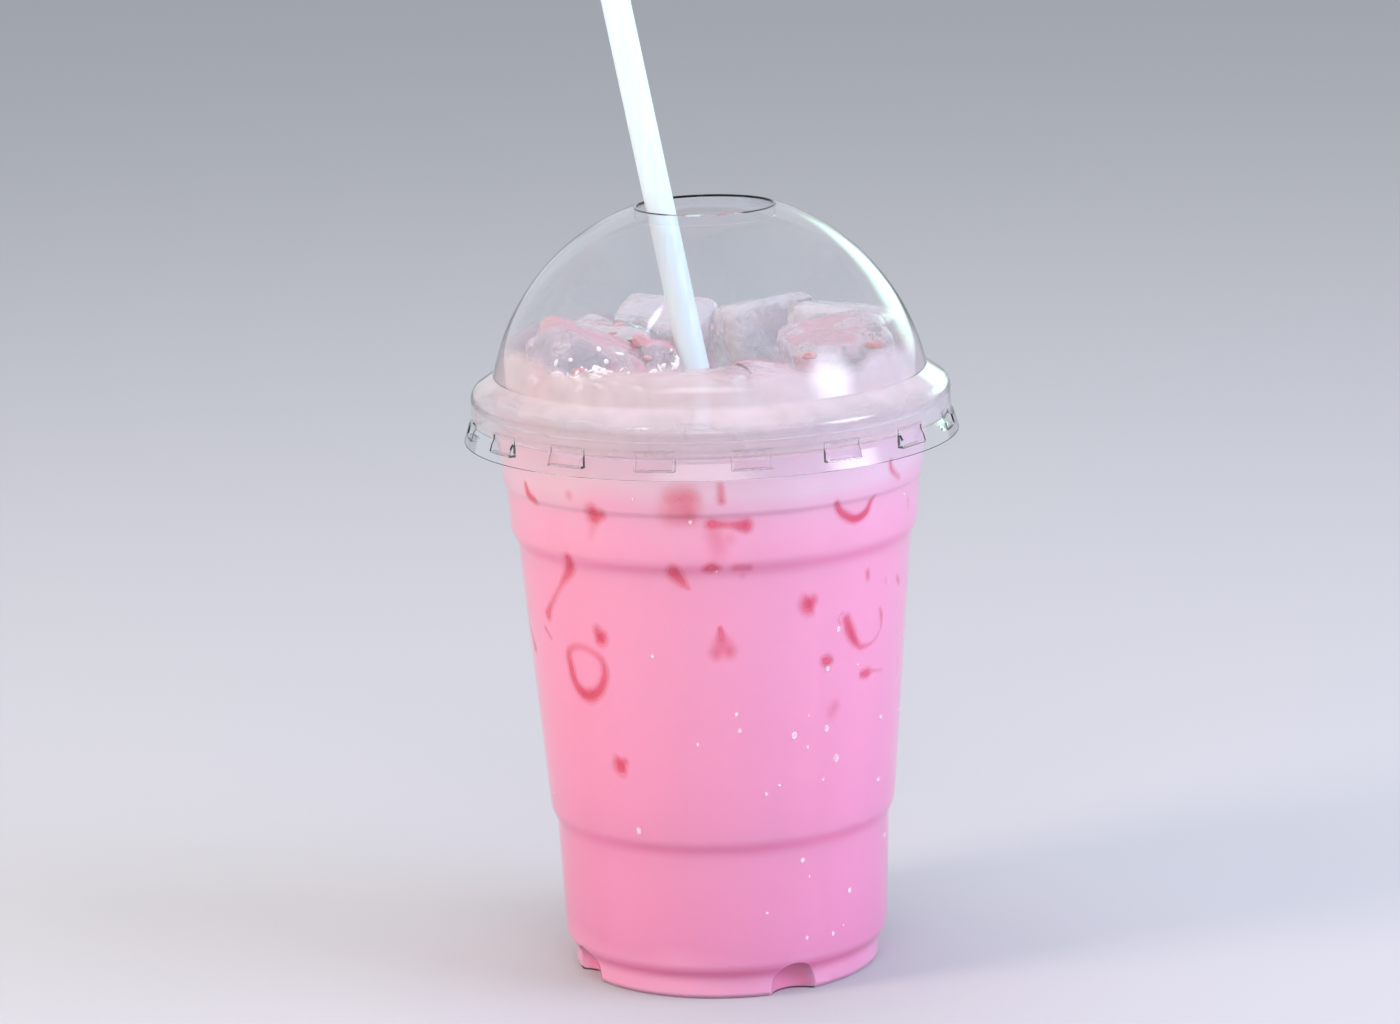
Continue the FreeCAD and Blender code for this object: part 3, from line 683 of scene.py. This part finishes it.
# Where sunk ice shows through the milk: for each mark its strokes, and for each stroke its points:
# degrees from +X, height in mm, half width in mm, and how dark it is from 0 to 1.
MARKS = (
    ("oval_ring", (
        (
            (-141.2, 72.4, 0.7, 0.65), (-140.8, 69.9, 0.8, 0.8), (-139.7, 66.9, 0.8, 0.85),
            (-137.2, 64.9, 0.85, 0.95), (-133.2, 64.4, 0.95, 1.0), (-129.3, 65.9, 0.8, 0.9),
            (-126.8, 68.9, 0.75, 0.75), (-126.8, 71.6, 0.7, 0.6), (-129.4, 73.5, 0.6, 0.45),
            (-134.0, 74.5, 0.6, 0.38), (-138.6, 74.1, 0.6, 0.45), (-141.2, 72.4, 0.7, 0.65),
        ),
    )),
    ("dot_over_ring", (
        ((-128.2, 78.6, 0.82, 0.7), (-127.0, 77.4, 1.17, 1.0)),
    )),
    ("slanted_streak", (
        (
            (-135.4, 93.2, 0.87, 0.9), (-136.6, 91.1, 0.93, 0.9), (-141.7, 86.8, 0.52, 0.45),
            (-147.8, 82.1, 0.58, 0.6), (-150.3, 79.7, 0.87, 0.8),
        ),
    )),
    ("short_scratch", (
        ((-153.5, 76.5, 0.35, 0.5), (-150.2, 74.7, 0.35, 0.45)),
    )),
    ("left_comma", (
        ((-150.7, 107.6, 0.41, 0.7), (-149.6, 105.4, 0.7, 0.9), (-146.7, 104.4, 0.58, 0.8)),
    )),
    ("faint_speck", (
        ((-131.8, 107.2, 0.7, 0.35),),
    )),
    ("soft_blob", (
        ((-123.9, 103.7, 1.4, 0.95), (-121.9, 103.8, 0.82, 0.7)),
        ((-125.0, 101.3, 0.7, 0.3), (-126.0, 99.1, 0.58, 0.18)),
    )),
    ("broad_smear", (
        ((-100.8, 107.8, 1.7, 0.52), (-97.3, 108.0, 1.7, 0.62), (-94.8, 107.6, 1.0, 0.4)),
        ((-101.2, 104.9, 1.8, 0.44), (-97.2, 105.0, 1.7, 0.58)),
        ((-99.6, 106.4, 2.0, 0.5), (-97.6, 106.5, 2.0, 0.58)),
    )),
    ("thin_upright", (
        ((-88.4, 110.5, 0.52, 0.5), (-88.2, 107.4, 0.64, 0.6)),
    )),
    ("angle_mark", (
        ((-91.0, 102.4, 0.87, 0.85), (-86.5, 102.2, 0.58, 0.6), (-81.9, 101.9, 0.99, 0.95)),
        ((-90.3, 100.3, 1.4, 0.35), (-89.3, 98.0, 1.52, 0.3), (-89.7, 95.9, 1.17, 0.18)),
        ((-86.5, 99.3, 1.05, 0.25),),
    )),
    ("low_dash", (
        ((-93.3, 93.0, 0.52, 0.6), (-91.4, 93.4, 0.7, 0.85), (-89.4, 93.3, 0.47, 0.55)),
    )),
    ("faint_dash", (
        ((-84.8, 93.2, 0.58, 0.45), (-81.1, 93.1, 0.58, 0.45)),
        ((-82.8, 91.4, 0.58, 0.2),),
    )),
    ("slant_wedge", (
        ((-102.0, 92.4, 1.05, 0.9), (-100.3, 90.7, 0.82, 0.75), (-98.2, 89.0, 0.35, 0.5)),
    )),
    ("wedge", (
        ((-89.5, 80.4, 0.4, 0.75), (-89.0, 76.6, 1.5, 0.52)),
        ((-89.6, 76.4, 1.4, 0.5), (-90.7, 75.4, 1.1, 0.54)),
        ((-88.4, 76.4, 1.4, 0.5), (-87.0, 75.6, 1.1, 0.54)),
    )),
    ("round_dot", (
        ((-62.6, 84.0, 1.46, 1.0), (-61.5, 84.5, 0.82, 0.7)),
    )),
    ("high_arc", (
        (
            (-55.6, 104.4, 0.5, 0.75), (-53.3, 102.0, 0.62, 0.9), (-48.6, 100.3, 0.62, 1.0),
            (-44.5, 101.2, 0.56, 0.9), (-42.7, 103.2, 0.47, 0.7), (-41.5, 104.2, 0.35, 0.4),
        ),
    )),
    ("open_ring", (
        (
            (-49.1, 79.0, 0.82, 0.8), (-47.6, 76.6, 0.93, 0.95), (-45.1, 73.9, 0.7, 0.85),
            (-42.1, 72.4, 0.47, 0.6), (-36.7, 72.7, 0.29, 0.35), (-32.8, 74.8, 0.29, 0.3),
            (-32.6, 77.5, 0.47, 0.6), (-33.6, 79.2, 0.35, 0.4),
        ),
    )),
    ("left_of_open_ring", (
        ((-50.9, 80.7, 0.23, 0.35), (-52.1, 79.6, 0.23, 0.4), (-51.5, 78.3, 0.23, 0.3)),
    )),
    ("speck_a", (
        ((-40.9, 88.0, 0.52, 0.55), (-40.6, 86.9, 0.52, 0.55)),
    )),
    ("specks_right", (
        ((-23.0, 84.2, 0.47, 0.5), (-21.1, 82.9, 0.47, 0.5)),
        ((-31.1, 85.2, 0.23, 0.25), (-30.8, 84.2, 0.23, 0.25)),
    )),
    ("drip_head", (
        ((-57.6, 71.6, 0.58, 0.6), (-56.2, 71.2, 0.82, 0.9), (-54.5, 71.1, 0.47, 0.6)),
    )),
    ("dash_tail", (
        (
            (-41.5, 66.5, 0.64, 0.75), (-38.9, 66.4, 0.7, 0.8), (-35.9, 66.4, 0.29, 0.4),
            (-30.5, 65.7, 0.23, 0.3),
        ),
    )),
    ("faint_blob", (
        ((-53.8, 60.1, 1.05, 0.3), (-52.6, 61.2, 0.93, 0.3)),
    )),
    ("top_right_curl", (
        ((-35.6, 110.5, 0.47, 0.6), (-34.5, 108.6, 0.52, 0.6), (-30.5, 106.5, 0.47, 0.4)),
    )),
    ("right_faint", (
        ((-21.6, 100.6, 0.41, 0.3), (-21.0, 98.7, 0.35, 0.25)),
    )),
    ("edge_line", (
        ((-17.4, 66.3, 0.23, 0.3), (-17.5, 62.6, 0.23, 0.3)),
    )),
    ("lower_dot", (
        ((-123.3, 50.4, 1.36, 1.0), (-121.9, 51.1, 0.68, 0.6)),
    )),
)

# Marks that only look right where they are.
FRONT_MARKS = ("angle_mark", "wedge", "broad_smear")
# A stroke has faded out this many half widths away from its line.
FADE_OUT = 2.7


def stroke_depth(spot, strokes):
    """How strongly strokes darken a spot: 1 on a bold stroke's line, 0 off it."""
    deepest = 0.0
    for stroke in strokes:
        ends = stroke if len(stroke) > 1 else stroke * 2
        for (x0, z0, width0, tone0), (x1, z1, width1, tone1) in zip(ends, ends[1:]):
            run = Vector((x1 - x0, z1 - z0))
            share = 0.0
            if run.length > 0:
                share = min(max((spot - Vector((x0, z0))).dot(run) / run.length_squared, 0.0), 1.0)
            away = (spot - Vector((x0, z0)) - run * share).length
            width = width0 + (width1 - width0) * share
            tone = tone0 + (tone1 - tone0) * share
            fade = min(max((FADE_OUT - away / width) / FADE_OUT, 0.0), 1.0)
            deepest = max(deepest, tone * fade * fade * (3 - 2 * fade))
    return deepest


def curved(stroke):
    """A stroke's points with smooth bends between them."""
    if len(stroke) < 3:
        return stroke
    closed = stroke[0] == stroke[-1]
    lead, trail = (stroke[-2], stroke[1]) if closed else (stroke[0], stroke[-1])
    points = [Vector(point) for point in (lead, *stroke, trail)]
    smoothed = []
    for before, start, end, after in zip(points, points[1:], points[2:], points[3:]):
        for share in (0.0, 0.25, 0.5, 0.75):
            bend = ((2 * start) + (end - before) * share
                    + (2 * before - 5 * start + 4 * end - after) * share ** 2
                    + (3 * start - before - 3 * end + after) * share ** 3) / 2
            smoothed.append(tuple(bend))
    return [*smoothed, stroke[-1]]


def mark_patch(milk_tree, strokes):
    """Patch on the milk's surface over one mark, with its depth at each vertex.

    It is laid out flat in millimetres, round the milk's widest circle and up, and then
    wrapped on the milk.
    """
    step = 0.3
    thinnest = 0.2
    lift = 0.03 * MM
    around = MILK_RADIUS / MM
    # A little past where the widest stroke has faded out.
    margin = max(point[2] for stroke in strokes for point in stroke) * 2.8 + step
    flat = [
        [(math.radians(angle) * around, height, max(width, thinnest), tone)
         for angle, height, width, tone in curved(stroke)]
        for stroke in strokes
    ]
    across = [point[0] for stroke in flat for point in stroke]
    tall = [point[1] for stroke in flat for point in stroke]
    low = Vector((min(across) - margin, min(tall) - margin))
    top = min(max(tall) + margin, MILK_LEVEL / MM - step)
    size = Vector((max(across) + margin, top)) - low
    columns, rows = (max(int(length / step), 2) for length in size)
    clear_selection()
    bpy.ops.mesh.primitive_grid_add(x_subdivisions=columns, y_subdivisions=rows, size=1)
    patch = bpy.context.object
    depths = []
    for vertex in patch.data.vertices:
        spot = low + Vector(((vertex.co.x + 0.5) * size.x, (vertex.co.y + 0.5) * size.y))
        outward = outward_at(math.degrees(spot.x / around))
        hit = milk_tree.ray_cast(outward * OUTSIDE + AXIS_UP * spot.y * MM, -outward)
        vertex.co = hit[0] + outward * lift
        depths.append(stroke_depth(spot, flat))
    patch.data.attributes.new("depth", "FLOAT", "POINT").data.foreach_set("value", depths)
    make_active(patch)
    bpy.ops.object.mode_set(mode="EDIT")
    shape = bmesh.from_edit_mesh(patch.data)
    layer = shape.verts.layers.float["depth"]
    blank = [face for face in shape.faces if all(vertex[layer] == 0 for vertex in face.verts)]
    bmesh.ops.delete(shape, geom=blank, context="FACES")
    bmesh.update_edit_mesh(patch.data)
    bpy.ops.object.mode_set(mode="OBJECT")
    return patch


def moved_marks(chance, tries):
    """Seeded copies of the marks for the cup's other sides, kept clear of each other."""
    clear_degrees, clear_height = 15, 9
    sides_and_back, heights = (-8.0, 190.0), (46.0, 109.0)
    moved = []
    taken = []
    simple = [strokes for name, strokes in MARKS if name not in FRONT_MARKS]
    for _ in range(tries):
        strokes = chance.choice(simple)
        points = [point for stroke in strokes for point in stroke]
        angle = sum(point[0] for point in points) / len(points)
        height = sum(point[1] for point in points) / len(points)
        place = Vector((chance.uniform(*sides_and_back), chance.uniform(*heights)))
        if any(abs(place.x - other.x) < clear_degrees and abs(place.y - other.y) < clear_height
               for other in taken):
            continue
        taken.append(place)
        flip, upend = chance.choice((-1, 1)), chance.choice((-1, 1, 1))
        moved.append([
            [(place.x + flip * (point[0] - angle), place.y + upend * (point[1] - height),
              *point[2:])
             for point in stroke]
            for stroke in strokes
        ])
    return moved


def make_marks(milk, finish):
    """Marks of sunk ice on the milk's surface, all round the cup."""
    milk_tree = surface_tree(milk)
    marks = [strokes for _, strokes in MARKS] + moved_marks(random.Random(23), 60)
    patches = [mark_patch(milk_tree, strokes) for strokes in marks]
    join_pieces(patches, "milk_marks", finish)


# ---------------------------------------------------------------- small things

# Bits of strawberry on the ice's front: aim in mm, and half lengths along X, Y and Z in mm.
PULP_ON_FRONT = (
    ((-14.2, 0.0, 132.4), (1.6, 1.0, 1.7)),
    ((-12.6, 0.0, 128.4), (1.0, 0.6, 0.8)),
    ((33.3, 0.0, 128.9), (1.8, 0.4, 0.9)),
    ((-26.5, -15.0, 129.0), (1.6, 0.5, 0.9)),
    ((-8.0, -30.0, 125.6), (5.0, 0.7, 1.0)),
    ((33.0, -15.0, 124.0), (2.6, 0.6, 1.5)),
    ((20.0, -20.0, 131.5), (1.5, 0.5, 0.7)),
)
# Larger bits between the lumps of ice: middle and half lengths in mm.
PULP_BETWEEN = (
    ((8.0, 8.0, 120.0), (7.5, 3.2, 6.2)),
    ((15.5, 6.0, 118.5), (4.0, 3.0, 5.0)),
)
# Groups of white flecks on the ice's front, painted glints: middle in mm, spread across and up in
# mm, and count.
GLINT_FLECK_GROUPS = (
    ((-24.0, -15.0, 127.5), (5.0, 2.4), 60),
    ((-6.0, 0.0, 127.5), (2.5, 1.5), 18),
)
# The larger drops on the cup: degrees from +X, height in mm and radius in mm.
LARGE_DROPS = (
    (-51.8, 49.9, 0.8), (-67.3, 56.5, 0.7), (-42.5, 19.9, 0.6), (-63.1, 29.0, 0.55),
    (-55.9, 56.8, 0.6), (-118.7, 36.6, 0.6), (-56.0, 69.5, 0.6), (-52.3, 77.5, 0.5),
)


def make_pulp(ice, finish):
    """Bits of strawberry on the ice and between it."""
    chance = random.Random(3)
    trees = [surface_tree(piece) for piece in ice]
    wave = cloud_texture("pulp_wave", 1.6 * MM)
    bits = []
    for aim, lengths in PULP_ON_FRONT:
        start = Vector(aim) * MM - INTO_THE_ICE * BEFORE_THE_ICE
        place = first_hit(trees, start, INTO_THE_ICE)
        if place:
            bits.append((place, lengths))
    # And a few on top of the pieces at the back, found from a height over all the ice.
    for _ in range(6):
        angle, reach = chance.uniform(0, math.pi), chance.uniform(14, 34)
        above = Vector((reach * math.cos(angle), reach * math.sin(angle), 142)) * MM
        place = first_hit(trees, above, -AXIS_UP)
        if place:
            long_side = chance.uniform(0.8, 1.6)
            bits.append((place, (long_side, chance.uniform(0.7, 1.2), chance.uniform(0.3, 0.5))))
    bits += [(Vector(middle) * MM, lengths) for middle, lengths in PULP_BETWEEN]
    clear_selection()
    bpy.ops.mesh.primitive_ico_sphere_add(subdivisions=4, radius=MM)
    made = copies(bpy.context.object, [
        Matrix.Translation(place) @ Matrix.Diagonal((*lengths, 1.0)) for place, lengths in bits])
    for bit, (_, lengths) in zip(made, bits):
        push_surface(bit, wave, max(0.8, 0.5 * min(lengths)) * MM)
        apply_modifiers(bit)
    join_pieces(made, "strawberry_pulp", finish)


def make_glint_flecks(ice, finish):
    """Small flat white flecks on the fronts of the two left pieces of ice, as painted glints."""
    chance = random.Random(9)
    trees = [surface_tree(piece) for piece in ice]
    places = []
    for middle, (across, up), count in GLINT_FLECK_GROUPS:
        for _ in range(count):
            aim = Vector(middle) + Vector((chance.gauss(0, across), 0, chance.gauss(0, up)))
            place = first_hit(trees, aim * MM - INTO_THE_ICE * BEFORE_THE_ICE, INTO_THE_ICE)
            if not place:
                continue
            size = Matrix.Scale(chance.uniform(0.3, 0.65), 4)
            squash = Matrix.Diagonal((chance.uniform(0.8, 2.4), 0.6, chance.uniform(0.5, 1.2), 1.0))
            turn = Matrix.Rotation(chance.uniform(0, math.pi), 4, "Y")
            places.append(Matrix.Translation(place) @ turn @ squash @ size)
    clear_selection()
    bpy.ops.mesh.primitive_ico_sphere_add(subdivisions=2, radius=MM)
    join_pieces(copies(bpy.context.object, places), "ice_bubbles", finish)


def make_drops(finish):
    """Small drops of water on the outside of the cup, most of them on its right."""
    chance = random.Random(5)
    cup_tree = surface_tree(NODES["cup"])
    placed = list(LARGE_DROPS)
    placed += [(chance.gauss(-50.0, 30.0), chance.uniform(12.0, 75.0), chance.uniform(0.2, 0.42))
               for _ in range(14)]
    placed += [(chance.uniform(0.0, 360.0), chance.uniform(8.0, 108.0), chance.uniform(0.2, 0.5))
               for _ in range(36)]
    places = []
    for degrees, height, radius in placed:
        outward = outward_at(degrees)
        place, normal, _, _ = cup_tree.ray_cast(
            outward * OUTSIDE + AXIS_UP * height * MM, -outward)
        sag = chance.uniform(1.0, 1.35)
        squash = Matrix.Diagonal((0.9, sag, 0.42, 1.0))
        level_side = AXIS_UP.cross(normal).normalized()
        rise = normal.cross(level_side)
        turn = Matrix((level_side, rise, normal)).transposed().to_4x4()
        places.append(Matrix.Translation(place) @ turn @ squash @ Matrix.Scale(radius, 4))
    clear_selection()
    bpy.ops.mesh.primitive_uv_sphere_add(segments=16, ring_count=10, radius=MM)
    join_pieces(copies(bpy.context.object, places), "cup_drops", finish)


# ---------------------------------------------------------------- the scene

place_camera()
lay_floor()
light_studio()
set_view_and_bounces()
NODES["cup"].data.materials[0] = clear_pet("pet_cup_thermoformed")
NODES["lid"].data.materials[0] = clear_pet("pet_lid_thermoformed")
NODES["straw"].data.materials[0] = straw_plastic()
milk = make_milk(strawberry_milk())
make_marks(milk, milk_thinned_by_ice())
ice = make_ice(wet_ice("ice_melting_clear", "C9ABB4", bare=0.62, body=0.42),
               wet_ice("ice_under_milk_film", "D3A2AC", bare=0.58, body=0.30),
               wet_ice("ice_melting_frosted", "CDCBD0", bare=0.56, body=0.30))
make_pulp(ice, fruit_flesh())
make_mist(mist_on_plastic("milk_film_on_wall", "E3B3C0"),
          mist_on_plastic("condensation_fine", "DACCD0"))
# The drops are whitened to paint their glints.
make_drops(water("water_drops_painted_glints", clear=0.68))
# White flecks that paint the glints on the ice.
make_glint_flecks(ice, water("air_bubbles_in_ice", clear=0.15))
